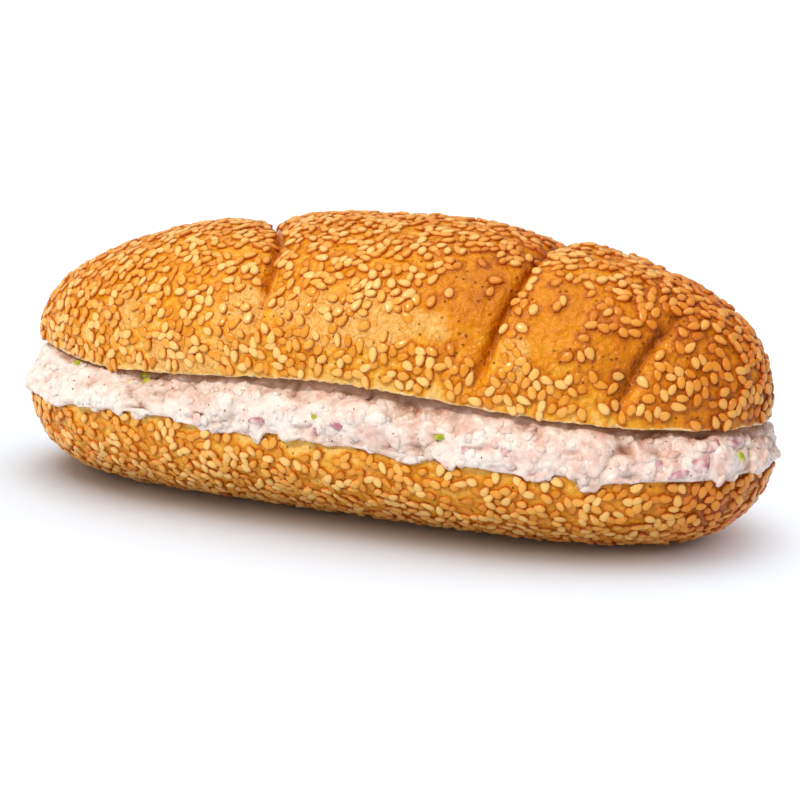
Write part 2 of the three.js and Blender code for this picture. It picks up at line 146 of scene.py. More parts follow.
# Beside a crease: a line of painted shade along its fold, where no seed holds, and its pale
# dough. The crust swells on its left and has painted shade there.
FOLD_SHADE_LINE = Sizes(left=0.5, width=1.35)
SEEDLESS_WIDTH = 1.9
PALE_WIDTH = 2.2
SHOULDER_SHADE = Sizes(left=6, width=7)
BARE_SMOOTHER = 0.55  # how much flatter bare crust is
EDGE_REACH = 0.8  # how far from the cut edge the tear of the knife reaches
BOTTOM_TORN = 0.6  # how torn the bottom half's crust is at most
BOTTOM_NOISE_SHIFT = 200  # so that the bottom half isn't uneven just as the top half is
WELDS_PER_MM = 2000  # points that are the same to this fineness become one

# How brown the crust is at least, how much browner or more shaded special places are, and zones
# where it is browner or paler: by how much, and the steps that bound the zone, each with what it
# goes by, where it starts and where it is full. The zones towards the right tip hold painted shade as well
# as browning.
TOP_BAKE = 0.18
BROWNER_OR_SHADED = Sizes(shoulder=0.1, bare=0.15, torn=-0.08, fold=0.45, uneven=0.07)
TOP_ZONES = (
    (0.02, ("away", 0.5, 6)),
    (0.08, ("away", 6, 26)),
    (0.04, ("s", 0.25, 0.95)),
    # Browner crust and painted shade towards the right tip, which turns away from the light:
    (0.09, ("x", 15, 40)),
    (0.28, ("x", 62, 92)),
    (-0.06, ("x", -10, -40)),
    (0.15, ("x", -82, -93)),
    (-0.13, ("away", 6, 1), ("x", -80, -40), ("x", 85, 60)),
    (-0.08, ("away", 18, 8), ("x", -80, -60), ("x", -15, -30)),
    # Browner crust and painted shade low on the right tip:
    (0.08, ("x", 74, 92), ("away", 16, 6)),
)
BOTTOM_BAKE = 0.1
BOTTOM_ZONES = (
    (0.08, ("away", 0.5, 5)),
    (0.12, ("z", 14, 2)),
    # Browner crust and painted shade towards the right tip, which turns away from the light:
    (0.14, ("x", 0, 60)),
    (0.47, ("x", 68, 94)),
    (0.06, ("x", -60, -90)),
)

# How much fewer seeds lie in special places.
FEWER_SEEDS = Sizes(bare=0.88, torn=0.2, fold=1.3)
SEED = Sizes(length=3.3, width=2.1, height=0.9, sides=9)
# Rings of a seed: the height as a share of the seed's, the size, and how much glaze and painted shade
# darken it.
SEED_RINGS = ((-0.4, 0.92, 1.0), (0.4, 1.0, 0.9), (0.82, 0.84, 0.2), (1.0, 0.5, 0.0))
SEED_CROWN = 0.98  # the middle of a seed's back, as a share of its height
# Kinds of seed: how long, and how far the tail narrows.
SEED_KINDS = ((1.0, 0.28), (0.92, 0.2), (1.1, 0.32), (0.97, 0.12))
POOL_REACH = 1.1  # how far glaze and painted shade gather round a seed
POOL_RISE = 0.14  # how far the crust rises there

# What is sown over a surface: the least distance, places for each mm2, the random seed, the
# smallest and largest scales, how far each leans at most in radians, and how deep it may sink.
# Lumps also have the width of each kind and the first random seed of their shapes.
SEEDS = {"smallest": (0.86, 0.86, 0.7), "largest": (1.1, 1.12, 1.2), "lean": 0.16, "deepest": 0.42}
TOP_SEEDING = Sizes(spacing=1.8, density=0.55, seed=11, **SEEDS)
BOTTOM_SEEDING = Sizes(spacing=1.65, density=0.7, seed=12, **SEEDS)
CURDS = Sizes(
    spacing=1.25, density=0.22, seed=13, smallest=(0.8, 0.8, 0.55), largest=(1.3, 1.15, 0.85),
    lean=0.4, deepest=0.6, kinds=(1.0, 1.4, 1.8, 2.3, 3.0), shapes=80,
)
PEPPER = Sizes(
    spacing=1.5, density=0.03, seed=14, smallest=(0.3, 0.3, 0.4), largest=(0.75, 0.55, 0.6),
    lean=0.5, deepest=0.05, kinds=(1.0, 1.0), shapes=90,
)
# How rough lumps are, how deep they lie in the spread as a share of their width, and how deep
# the hollows between lumps are.
LUMP_ROUGH = 0.4
LUMP_SUNK = 0.26
HOLLOW_DEPTH = 1.2
UNDER_ROLL = 1.6  # how much farther back the spread lies right under the top half
# Where it lies deeper still under the top half: u, the half width and by how much.
DEEPER = ((-0.17, 0.46, 1.7), (0.84, 0.07, 2.2))
ONION_PROUD = -0.25  # how far the middle of a chopped piece lies out of the filling
ONION_ROWS_FREE = 4  # rows at the filling's edges without onion
ONION_BULGE = 0.22
BLOCK_POWER = 6  # a higher power gives a chopped piece sharper edges
# Chopped pieces that show at the front: u, the share of the filling's height, and the size
# along the roll, into the filling and upwards. Then how many more lie where the camera doesn't
# see, and the first random seed.
RED_ONION = Sizes(
    front=(
        (-0.121, 0.38, (3.6, 1.2, 1.3)),
        (0.036, 0.22, (1.2, 1.2, 2.0)),
        (0.091, 0.36, (3.6, 1.3, 1.4)),
        (0.409, 0.26, (1.7, 1.2, 1.6)),
        (0.506, 0.36, (2.4, 1.0, 1.8)),
        (0.676, 0.14, (1.4, 1.2, 1.4)),
        (0.824, 0.28, (2.2, 1.5, 3.4)),
        (0.859, 0.10, (5.2, 1.4, 1.7)),
        (0.899, 0.34, (4.2, 1.8, 3.4)),
        (0.921, 0.70, (4.8, 1.2, 2.2)),
        (0.961, 0.80, (4.4, 0.9, 2.4)),
    ),
    hidden=9,
    seed=15,
)
SPRING_ONION = Sizes(
    front=(
        (-0.744, 0.95, (2.8, 1.4, 1.7)),
        (-0.494, 0.85, (2.5, 1.4, 1.5)),
        (-0.536, 0.77, (1.2, 1.0, 1.0)),
        (-0.516, 0.97, (6.4, 1.2, 1.4)),
        (0.354, 0.47, (3.6, 1.1, 1.3)),
        (0.031, 0.44, (1.2, 0.9, 1.2)),
        (0.967, 0.38, (2.2, 1.2, 2.2)),
    ),
    hidden=5,
    seed=17,
)
HIDDEN_TURNS = Sizes(start=0.53, span=0.44)  # where those lie round the outline
# Hollows between lumps of the filling: u, the share of its height, and the half sizes.
HOLLOWS = (
    (0.766, 0.14, (3.0, 1.0)),
    (0.656, 0.04, (1.6, 1.3)),
    (0.036, 0.2, (1.0, 1.8)),
    (-0.491, 0.14, (2.2, 0.8)),
    (0.84, 0.6, (3.5, 1.2)),
)

# Stops of colour ramps. Bakes run from pale dough to dark crust, and their darker stops also give painted
# shade.
TOP_BAKES = ((0.0, "F4C46A"), (0.17, "ECA62C"), (0.4, "DF8906"), (0.68, "C46A00"), (1.0, "8C4200"))
BOTTOM_BAKES = ((0.0, "F5C264"), (0.22, "EAA22E"), (0.45, "DA860C"), (0.7, "BE6800"), (1.0, "883E00"))
TORN_COLOURS = ((0.2, "E39834"), (0.5, "ECAA4C"), (0.9, "F5C67A"))
CRUMB_COLOURS = ((0.3, "DA9C56"), (0.5, "EFC488"), (0.7, "F8DEB4"))
HULL_COLOURS = ((0.2, "DC8A1C"), (0.45, "EA9E30"), (0.8, "F2B250"), (1.0, "F8CA76"))
# The cheese runs from lit cream to painted shade.
CHEESE_AND_SHADE_COLOURS = ((0.1, "F7E9E0"), (0.4, "F1DED4"), (0.65, "DFC5B5"), (1.0, "A47A62"))
RED_ONION_COLOURS = ((0.3, "A46074"), (0.48, "CC98A0"), (0.62, "EDD2CC"))
SPRING_ONION_COLOURS = ((0.3, "98A428"), (0.5, "C8CA30"), (0.7, "E8E27C"))
PEPPER_COLOURS = ((0.2, "3A241A"), (0.5, "6A3A28"), (0.7, "8E3C34"), (1.0, "B06A50"))
PAPER_COLOURS = ((0.0, "F2F7FB"), (1.0, "F4F9FD"))

# ---- view ----

CAMERA = Sizes(
    azimuth=26.535, elevation=12.403, distance=451.34, lens=84.5, sensor=36.0,
    target_z=35.0, aim_right=5.09, aim_down=11.0,
)
# Where each lamp is: shares to the camera's right, straight up and towards the camera. Then
# what it gives a white surface that faces it, its width in degrees and its colour. The window
# lights only the sandwich, and the backlight only the floor, so that the shadow stays soft.
WINDOW = Sizes(right=-0.44, up=0.74, front=0.5, gives=0.70, angle=8, colour="FFF4E6")
OVERHEAD = Sizes(right=-0.1, up=0.95, front=-0.1, gives=0.31, angle=60, colour="FFFFFF")
BACKLIGHT = Sizes(right=0.38, up=0.92, front=0.0, gives=0.62, angle=100, colour="EEF5FF")
SURROUND = Sizes(strength=0.38, colour="FFFFFF")
FLOOR_SIZE = 30000
FLOOR_Z = -0.05


# ---- small tools ----


def smooth(start, stop, value):
    part = np.clip((value - start) / (stop - start), 0, 1)
    return part * part * (3 - 2 * part)


def bell(value):
    return np.exp(-(value**2))


def end_fall(u, powers):
    """A half width or height that falls to 0 at both tips, with its own power at each."""
    power = np.where(u < 0, powers[0], powers[1])
    return np.sqrt(np.maximum(0, 1 - np.abs(u) ** power))


def rim_wave(half, u):
    """How far the cut edge of a half lies over its level."""
    middle = half.rim_rise * bell((u - half.rim_rise_at) / half.rim_rise_width)
    return half.rim_dip + middle + half.left_tip_rise * smooth(*TIP_RISE, -u)


def grid(*parts):
    return np.stack(np.broadcast_arrays(*parts), axis=-1)


def length_of(vectors):
    return np.linalg.norm(vectors, axis=-1)


def lattice(cell, seed):
    """A number from 0 to 1 for each cell of a lattice, the same on each run."""
    mixed = (cell[..., 0] * 73856093) ^ (cell[..., 1] * 19349663) ^ (cell[..., 2] * 83492791)
    mixed = (mixed ^ (seed * 15485863)) & 0xFFFFFFFF
    mixed = ((mixed ^ (mixed >> 13)) * 1274126177) & 0xFFFFFFFF
    mixed = ((mixed ^ (mixed >> 16)) * 2246822519) & 0xFFFFFFFF
    return (mixed ^ (mixed >> 15)) / 0xFFFFFFFF


def noise(points, size, seed):
    """Smooth noise from -1 to 1 whose lumps have a size in mm, or one size for each axis."""
    place = points / np.asarray(size, float)
    cell = np.floor(place).astype(np.int64)
    part = smooth(0, 1, place - cell)
    value = 0
    for corner in np.ndindex(2, 2, 2):
        weight = np.prod(np.where(np.array(corner) == 1, part, 1 - part), axis=-1)
        value = value + weight * lattice(cell + corner, seed)
    return 2 * value - 1


def layered(points, layers):
    """Unevenness of points from layers of noise."""
    return sum(high * noise(points, wide, seed) for high, wide, seed in layers)


def shifts(points, size, seed):
    """A smooth shift from -1 to 1 along each axis for each point."""
    return grid(*(noise(points, size, seed + k) for k in range(3)))


def grains(points, size, seed):
    """Rounded grains packed together: 1 in the middle of a grain and 0 between grains."""
    place = points / size
    cell = np.floor(place).astype(np.int64)
    nearest = np.full(place.shape[:-1], np.inf)
    for step in np.ndindex(3, 3, 3):
        near = cell + step - 1
        middle = near + grid(*(0.1 + 0.8 * lattice(near, seed + k) for k in range(3)))
        reach = 0.55 + 0.4 * lattice(near, seed + 3)
        nearest = np.minimum(nearest, length_of(place - middle) / reach)
    return np.sqrt(np.clip(1 - nearest**2, 0, 1))


def outward(points, sign=1):
    """The normals of a grid of points."""
    along = np.gradient(points, axis=0)
    across = np.gradient(points, axis=1)
    normal = sign * np.cross(along, across)
    return normal / np.maximum(length_of(normal), 1e-9)[..., None]


def stations(count):
    """Values from -1 to 1 that are even along the middle and close up at the tips."""
    even = np.linspace(-1, 1, count)
    return 1.125 * even - 0.125 * even**9


def even_angles(section_at, count, weight):
    """Section angles that put points at even distances along a section, where weight is 1."""
    fine = np.linspace(0, math.pi, 4001)
    section = section_at(fine)
    steps = length_of(np.diff(section, axis=0)) * weight(section[1:])
    travelled = np.concatenate([[0], np.cumsum(steps)])
    angles = np.interp(np.linspace(0, travelled[-1], count), travelled, fine)
    angles[-1] = math.pi
    return angles


def from_rim(points):
    """How far each point of a grid lies from the nearer end of its section."""
    steps = length_of(np.diff(points, axis=1))
    travelled = np.concatenate([np.zeros((len(points), 1)), np.cumsum(steps, axis=1)], axis=1)
    return np.minimum(travelled, travelled[:, -1:] - travelled)


def patch(patches, points):
    """How much a point on the front lies in one of the patches, from 0 to 1."""
    inside = np.zeros(points.shape[:-1])
    ragged = 0.25 * noise(points, 3.0, 71)
    for x, z, half_x, half_z in patches:
        away = np.hypot((points[..., 0] - x) / half_x, (points[..., 2] - z) / half_z)
        inside = np.maximum(inside, 1 - smooth(0.7, 1.15, away + ragged))
    return inside * (points[..., 1] < 0)


def zoned(zones, **fields):
    """The sum of zones, each bounded by smooth steps of the fields."""
    total = 0
    for amount, *steps in zones:
        for field, start, stop in steps:
            amount = amount * smooth(start, stop, fields[field])
        total = total + amount
    return total


# ---- meshes ----


def linked(name, data):
    """A new object in the scene."""
    thing = bpy.data.objects.new(name, data)
    scene.collection.objects.link(thing)
    return thing


def store(piece, field, values):
    """Stores a number for each point of a piece's mesh."""
    attribute = piece.data.attributes.new(field, "FLOAT", "POINT")
    attribute.data.foreach_set("value", np.asarray(values, np.float32))


def vectors_of(rows, field):
    """A vector for each row of a mesh's data."""
    vectors = np.empty(3 * len(rows), np.float32)
    rows.foreach_get(field, vectors)
    return vectors.reshape(-1, 3)


def points_and_faces(shape):
    """The points and faces of a bmesh, which is then freed."""
    points = np.array([vertex.co for vertex in shape.verts])
    faces = np.array([[vertex.index for vertex in face.verts] for face in shape.faces])
    shape.free()
    return points, faces


def closed_mesh(name, rings, fields, flip=False):
    """A closed mesh skinned over rings of points, with one stored number for each field."""
    count, columns = rings.shape[:2]
    points = rings.reshape(-1, 3)
    keys = np.round(points * WELDS_PER_MM).astype(np.int64)
    _, first, welded = np.unique(keys, axis=0, return_index=True, return_inverse=True)
    order = np.argsort(first)
    rank = np.empty_like(order)
    rank[order] = np.arange(len(order))
    kept = first[order]
    index = rank[welded.reshape(-1)].reshape(count, columns)
    following = np.roll(index, -1, axis=1)
    corners = grid(index[:-1], index[1:], following[1:], following[:-1]).reshape(-1, 4)
    if flip:
        corners = corners[:, ::-1]
    whole = (corners != np.roll(corners, 1, axis=1)).all(axis=1)
    faces = corners[whole].tolist()
    for quad in corners[~whole].tolist():
        left = [a for a, b in zip(quad, quad[-1:] + quad[:-1]) if a != b]
        if len(left) == 3:
            faces.append(left)
    mesh = bpy.data.meshes.new(name)
    mesh.from_pydata((points[kept] * MM).tolist(), [], faces)
    mesh.shade_smooth()
    piece = linked(name, mesh)
    for field, values in fields.items():
        store(piece, field, np.broadcast_to(values, (count, columns)).reshape(-1)[kept])
    return piece


def plain_mesh(name, points, faces):
    """A smooth object from points in mm and faces, with its normals out."""
    mesh = bpy.data.meshes.new(name)
    mesh.from_pydata((np.asarray(points) * MM).tolist(), [], [list(face) for face in faces])
    shape = bmesh.new()
    shape.from_mesh(mesh)
    bmesh.ops.recalc_face_normals(shape, faces=shape.faces)
    shape.to_mesh(mesh)
    shape.free()
    mesh.shade_smooth()
    return linked(name, mesh)


def cut_face(front, back):
    """Columns of points across a cut face, from the back rim to the front rim."""
    half = length_of(back - front)[:, None] / 2
    insets = np.array(CUT_FACE_INSETS)
    even = np.arange(1, len(insets) + 1) / (len(insets) + 1)
    shares = np.minimum(insets / np.maximum(half, 1e-6), even) / 2
    shares = np.concatenate([shares, 1 - shares[:, ::-1]], axis=1)[..., None]
    return back[:, None] * (1 - shares) + front[:, None] * shares


def tear_edge(points, away):
    """Moves the cut edge up and down and in and out a little, as a knife through crust does."""
    fade = np.exp(-away / EDGE_REACH)
    moved = points.copy()
    moved[..., 2] += fade * layered(points, EDGE_LAYERS)
    moved[..., 1] += fade * 0.25 * noise(points, 1.3, 23)
    return moved


def half_mesh(name, crust, away, fields, flip=False):
    """Half of the roll: its crust, closed by the cut face. The fields are those of the crust."""
    face = cut_face(crust[:, 0], crust[:, -1])
    to_rims = np.minimum(length_of(face - crust[:, :1]), length_of(face - crust[:, -1:]))
    rings = np.concatenate([crust, face], axis=1)
    rings = tear_edge(rings, np.concatenate([away, to_rims], axis=1))
    bare_face = np.zeros(face.shape[:2])
    whole = {field: np.concatenate([values, bare_face], axis=1) for field, values in fields.items()}
    return closed_mesh(name, rings, whole, flip)


def torn_relief(points):
    """Dough that tore open late: crackled skin in short uneven strands."""
    bent = points + 0.9 * shifts(points, 2.2, 6)
    strands = 1 - np.abs(noise(bent, (1.5, 2.6, 2.6), 8))
    return 0.3 * strands**3 + 0.1 * noise(points, 1.0, 9) - 0.09


# ---- the top half ----


def place_top(points):
    """Puts the level top half where it lies: tilted, rolled and lifted."""
    x, y, z = np.moveaxis(points, -1, 0)
    lifted = z * math.cos(TOP.tilt) - y * math.sin(TOP.tilt)
    return grid(
        x * math.cos(TOP.roll) + lifted * math.sin(TOP.roll),
        y * math.cos(TOP.tilt) + z * math.sin(TOP.tilt) + TOP.offset_y + SHIFT_Y,
        lifted * math.cos(TOP.roll) - x * math.sin(TOP.roll) + TOP.cut_height,
    )


def slide_along_creases(x, c, s):
    """Slides a station sideways at a section angle, so that the grid follows the creases."""
    half = TOP.length / 2
    c, s, x = np.broadcast_arrays(c, s, x)
    paths = [crease.path for crease in CREASES]
    at_crown = np.array([-half, *(float(path(0.0, 1.0)) for path in paths), half])
    here = np.stack([np.full(x.shape, -half), *(path(c, s) for path in paths), np.full(x.shape, half)])
    k = np.clip(np.searchsorted(at_crown, x) - 1, 0, len(CREASES))
    low = np.take_along_axis(here, k[None], axis=0)[0]
    high = np.take_along_axis(here, k[None] + 1, axis=0)[0]
    return low + (x - at_crown[k]) / (at_crown[k + 1] - at_crown[k]) * (high - low)


def on_front(crease, c, s):
    """1 where a crease is, and 0 where it isn't because it is only on the front."""
    return (1 - smooth(0.6, 0.95, s)) * (c > 0) if crease.front_only else 1


def seam(crease, away, s, width):
    """How near a point is to the narrow fold in a crease, which goes farther down than its dip."""
    return bell(away / width) * smooth(crease.fade[0] / 2, 0.6 * crease.fade[1], s)


def crease_dip(x, c, s):
    dip = 0
    for crease in CREASES:
        away = x - crease.path(c, s)
        reach = np.where(away < 0, crease.left, crease.right)
        wide = crease.depth * np.exp(-np.abs(away) / reach) * smooth(*crease.fade, s)
        dip = dip + (wide + crease.seam * seam(crease, away, s, SEAM_WIDTH)) * on_front(crease, c, s)
    return dip


def beside_creases(x, c, s):
    """How much each point lies on a fold's line of painted shade, where no seed holds, and on pale dough.
    """
    fold, seedless, pale = 0, 0, 0
    for crease in CREASES:
        beside = x - crease.path(c, s)
        here = on_front(crease, c, s)
        fold = fold + seam(crease, beside + FOLD_SHADE_LINE.left, s, FOLD_SHADE_LINE.width) * here
        seedless = np.maximum(seedless, seam(crease, beside, s, SEEDLESS_WIDTH) * here)
        strip = bell((beside - PALE_WIDTH) / PALE_WIDTH) * smooth(0.05, 0.25, s) * (1 - smooth(0.5, 0.8, s))
        pale = np.maximum(pale, crease.pale * strip * here)
    return fold, seedless, pale


def top_crust(station, angle):
    """A point of the level top half's crust, and the same for grids of them."""
    c, s = np.cos(angle), np.maximum(np.sin(angle), 0)
    x = slide_along_creases(station, c, s)
    u = x / (TOP.length / 2)
    half_width = TOP.width / 2 * end_fall(u, TOP.outline)
    lobes = sum(rise * bell((x - at) / width) for at, width, rise in TOP_LOBES)
    height = (TOP.height + lobes) * end_fall(u, TOP.profile)
    y = -half_width * c * (1 - TOP.tuck * (1 - s) ** 6)
    z = height * s**TOP.arch
    core = height / 4
    radius = np.hypot(y, z - core) + 1e-6
    wave = WAVE * np.sin(x / 13 + 2 * angle) * np.sin(x / 29 - angle) * s**2
    shrink = 1 - np.minimum((crease_dip(x, c, s) - wave) / radius, 0.5)
    shrink = np.where(s < 1e-9, 1, shrink)
    return grid(x, y * shrink, core + (z - core) * shrink + rim_wave(TOP, u) * (1 - s) ** 2)


def top_half():
    station = TOP.length / 2 * stations(TOP_STATIONS)[:, None]
    angle = even_angles(lambda a: top_crust(np.zeros(1), a), TOP_COLUMNS, lambda p: 1 + 1.2 * (p[:, 2] < 4))
    level = top_crust(station, angle[None])
    c, s = np.cos(angle)[None], np.sin(angle)[None]
    crust = place_top(level)
    away, x = from_rim(crust), crust[..., 0]
    fold, seedless, pale = beside_creases(level[..., 0], c, s)
    back_torn = smooth(0.15, 0.55, noise(crust, (16, 9, 9), 31)) * smooth(4, 9, away)
    back_torn = back_torn * (1 - smooth(20, 26, away)) * (c < 0)
    torn = np.maximum(np.maximum(patch(TORN_PATCHES, crust), back_torn), pale)
    back_bare = smooth(0.35, 0.65, noise(crust, 17, 32)) * (c < 0) * smooth(10, 16, away)
    bare = np.maximum(patch(BARE_PATCHES, crust), back_bare)
    skin = layered(crust, SKIN_LAYERS) * (1 - BARE_SMOOTHER * bare)
    relief = smooth(0, 3, away) * (skin + torn * torn_relief(crust))
    crust = crust + outward(crust) * relief[..., None]

    swells = [level[..., 0] - crease.path(c, s) + SHOULDER_SHADE.left for crease in CREASES[1:]]
    shoulder = sum(bell(swell / SHOULDER_SHADE.width) for swell in swells) * smooth(3, 12, away)
    bake_and_shade = TOP_BAKE + zoned(TOP_ZONES, x=x, away=away, s=s) + BROWNER_OR_SHADED.uneven * noise(crust, 12, 41)
    # Painted shade left of the middle and right creases and along each fold's line; bare crust is browner
    # and torn dough paler.
    bake_and_shade = bake_and_shade + BROWNER_OR_SHADED.shoulder * shoulder + BROWNER_OR_SHADED.bare * bare
    bake_and_shade = bake_and_shade + BROWNER_OR_SHADED.torn * torn + BROWNER_OR_SHADED.fold * fold
    cover = smooth(0.5, 2.0, away + 0.7 * smooth(-25, -50, x))
    cover = cover * (1 - FEWER_SEEDS.bare * bare) * (1 - FEWER_SEEDS.torn * torn)
    cover = np.clip(cover * (0.9 + 0.25 * noise(crust, 7, 42)) - FEWER_SEEDS.fold * seedless, 0, 1)
    return half_mesh("top_half", crust, away, {"bake_and_shade": bake_and_shade, "torn": torn, "rim": away, "cover": cover})


# ---- the bottom half ----


def lip_drop(rim, front):
    """How far the filling hangs down over a point of the bottom half's cut edge."""
    ragged = 2.0 * smooth(0.1, 0.8, noise(rim, 6.0, 52)) + 1.6 * smooth(0.05, 0.8, noise(rim, 2.4, 53))
    drop = FILLING.lip_drop * (1 + 0.7 * noise(rim, 4.2, 51)) + ragged
    for at, by, half_width in DRIPS:
        drop = drop + front * by * bell((rim[..., 0] - at) / half_width)
    return drop


def bottom_crust(x, angle):
    c, s = np.cos(angle), np.maximum(np.sin(angle), 0)
    u = x / (BOTTOM.length / 2)
    half_width = BOTTOM.width / 2 * end_fall(u, BOTTOM.outline)
    depth = (BOTTOM.cut_height + BOTTOM.flatten) * end_fall(u, BOTTOM.profile)
    y = -half_width * c * (1 - BOTTOM.tuck * (1 - s) ** 6)
    z = np.maximum(BOTTOM.cut_height - depth * s**BOTTOM.arch, 0)
    return grid(x, y + SHIFT_Y, z + rim_wave(BOTTOM, u) * (1 - s) ** 2)


def bottom_half():
    station = BOTTOM.length / 2 * stations(BOTTOM_STATIONS)[:, None]
    angle = even_angles(
        lambda a: bottom_crust(np.zeros(1), a), BOTTOM_COLUMNS, lambda p: np.where(p[:, 2] < 0.05, 0.2, 1)
    )
    crust = bottom_crust(station, angle[None])
    away, z, normal = from_rim(crust), crust[..., 2], outward(crust, -1)
    front = np.cos(angle)[None] > 0
    hidden = np.where(front, lip_drop(crust[:, :1], True), lip_drop(crust[:, -1:], False))
    torn = smooth(0.3, 0.7, noise(crust, (15, 9, 7), 33)) * smooth(2, 5, away) * smooth(3, 6, z)
    torn = torn * BOTTOM_TORN
    other = crust + BOTTOM_NOISE_SHIFT
    fade = smooth(0, 3, away) * smooth(0.0, 3.0, z)
    relief = fade * layered(other, SKIN_LAYERS) + fade * torn * torn_relief(other)
    crust = crust + normal * relief[..., None]
    crust[..., 2] = np.maximum(crust[..., 2], 0)

    x = crust[..., 0]
    bake_and_shade = BOTTOM_BAKE + zoned(BOTTOM_ZONES, x=x, away=away, z=z)
    bake_and_shade = bake_and_shade + BROWNER_OR_SHADED.uneven * noise(crust, 10, 43)
    cover = smooth(0.2, 1.6, away - hidden + 0.5 * smooth(-20, -60, x)) * smooth(1.2, 2.2, z)
    cover = cover * smooth(0.97, 0.9, -normal[..., 2])
    cover = np.clip(cover * (0.8 + 0.3 * smooth(13, 7, z) + 0.3 * noise(crust, 6, 44)), 0, 1)
    fields = {"bake_and_shade": bake_and_shade, "torn": torn, "rim": away, "cover": cover}
    return half_mesh("bottom_half", crust, away, fields, flip=True)


# ---- the filling ----


def turn_of(u):
    """How far round the outline a place on the front lies, from 0 at the left tip to 1."""
    return math.acos(-u) / (2 * math.pi)


def filling_side():
    """The filling's side: stations round the whole outline from the left tip along the front,
    and rows from the lip up to the top half. Also the inner edge under the lip."""
    turn = 2 * math.pi * np.arange(FILLING_STATIONS)[:, None] / FILLING_STATIONS
    u, side = -np.cos(turn), -np.sin(turn)
    low_y = np.sign(side) * BOTTOM.width / 2 * end_fall(u, BOTTOM.outline) * (1 - BOTTOM.tuck)
    low = grid(u * BOTTOM.length / 2, low_y + SHIFT_Y, BOTTOM.cut_height + rim_wave(BOTTOM, u))
    high_y = np.sign(side) * TOP.width / 2 * end_fall(u, TOP.outline) * (1 - TOP.tuck)
    high = place_top(grid(u * TOP.length / 2, high_y, rim_wave(TOP, u)))
    out = grid(FILLING.out_lean * u, side, 0 * u)
    out = out / np.maximum(length_of(out), 1e-9)[..., None]

    foot = low[..., 2] - lip_drop(low, side < 0)
    bottom, top = low[..., 2] + GAP, high[..., 2] - GAP
    z = foot + (top - foot) * np.linspace(0, 1, FILLING_ROWS)[None]
    v = np.clip((z - bottom) / (top - bottom), 0, 1)
    tip = np.where(u < 0, FILLING.left_tip, FILLING.right_tip) * np.abs(u) ** FILLING.tip_power
    belly = 4 * v * (1 - v) * (FILLING.middle - (FILLING.bottom_edge + FILLING.top_edge) / 2)
    stand_out = FILLING.bottom_edge * (1 - v) + FILLING.top_edge * v + belly + tip * smooth(0, 0.4, v)
    recess = UNDER_ROLL * smooth(-0.98, -0.4, u) * smooth(1.0, 0.8, u)
    for at, half_width, by in DEEPER:
        recess = recess + by * np.exp(-(((u - at) / half_width) ** 4))
    stand_out = stand_out - recess * smooth(0.45, 0.95, v)
    rounding = np.clip((z - foot) / FILLING.lip_round, 0, 1)
    lip = FILLING.lip_inside + 0.1
    stand_out = lip + (stand_out - lip) * np.sqrt(1 - (1 - rounding) ** 2)
    side_points = low + (high - low) * v[..., None] + out * stand_out[..., None]
    side_points[..., 2] = z
    inner = low[:, 0] + out[:, 0] * FILLING.lip_inside
    inner[..., 2] = bottom[:, 0]
    return side_points, inner


def spread_relief(points):
    """Cottage cheese as it is pressed out of a sandwich: soft lumps, curds, folds and pits."""
    bent = points + 1.5 * shifts(points, 4.5, 56)
    curds = sum(high * grains(bent, wide, seed) for high, wide, seed in PACKED_CURDS)
    high, wide, seed = FINE_CURDS
    curds = curds + high * grains(points, wide, seed)
    pits = smooth(0.35, 0.8, noise(bent, (4.5, 4.5, 2.4), 64))
    return layered(bent, LUMP_LAYERS) + curds - 1.2 - pits + 0.06 * noise(points, 0.8, 65)


def hollowed(side_points):
    """How much each point of the filling's side lies in one of the hollows, from 0 to 1."""
    inside = np.zeros(side_points.shape[:2])
    for u, v, (half_x, half_z) in HOLLOWS:
        middle = side_points[int(turn_of(u) * FILLING_STATIONS), int(v * FILLING_ROWS)]
        sideways = length_of(side_points[..., :2] - middle[:2]) / half_x
        away = np.hypot(sideways, (side_points[..., 2] - middle[2]) / half_z)
        inside = np.maximum(inside, 1 - smooth(0.3, 1.3, away + 0.3 * noise(side_points, 1.6, 55)))
    return inside


def filling():
    side, inner = filling_side()
    row = np.linspace(0, 1, FILLING_ROWS)[None]
    normal = outward(np.concatenate([side[-1:], side, side[:1]]))[1:-1]
    strength = smooth(0.0, 0.06, row) * (1 - 0.85 * smooth(0.8, 1.0, row))
    relief = spread_relief(side) * strength - HOLLOW_DEPTH * hollowed(side)
    side = side + normal * relief[..., None]
    # Painted shade on the filling: darker in its hollows, under the top half and towards the right tip, and
    # lighter on its lumps.
    cheese_shade = 0.36 - 0.28 * relief + 0.6 * smooth(0.7, 1.0, row) + 0.09 * smooth(30, 80, side[..., 0])
    cover = np.broadcast_to(smooth(0.0, 0.05, row) * (1 - smooth(0.8, 0.92, row)), side.shape[:2])

    # Rings from the front to the back, one for each pair of stations across the filling.
    front = np.arange(FILLING_STATIONS // 2 + 1)
    back = -front % FILLING_STATIONS
    shares = np.array(FILLING_FACE_SHARES)[None, :, None]
    over = side[front, -1:] * (1 - shares) + side[back, -1:] * shares
    under = inner[back][:, None] * (1 - shares) + inner[front][:, None] * shares
    front_edge, back_edge = inner[front][:, None], inner[back][:, None]
    rings = np.concatenate([front_edge, side[front], over, side[back, ::-1], back_edge, under], axis=1)
    none, few = np.zeros((len(front), 1)), np.zeros((len(front), shares.shape[1]))
    fields = {
        name: np.concatenate([none, values[front], few, values[back, ::-1], none, few], axis=1)
        for name, values in (("cover", cover), ("cheese_shade", np.clip(cheese_shade, 0, 1)))
    }
    return closed_mesh("cottage_cheese", rings, fields), side, normal


# ---- chopped onion ----


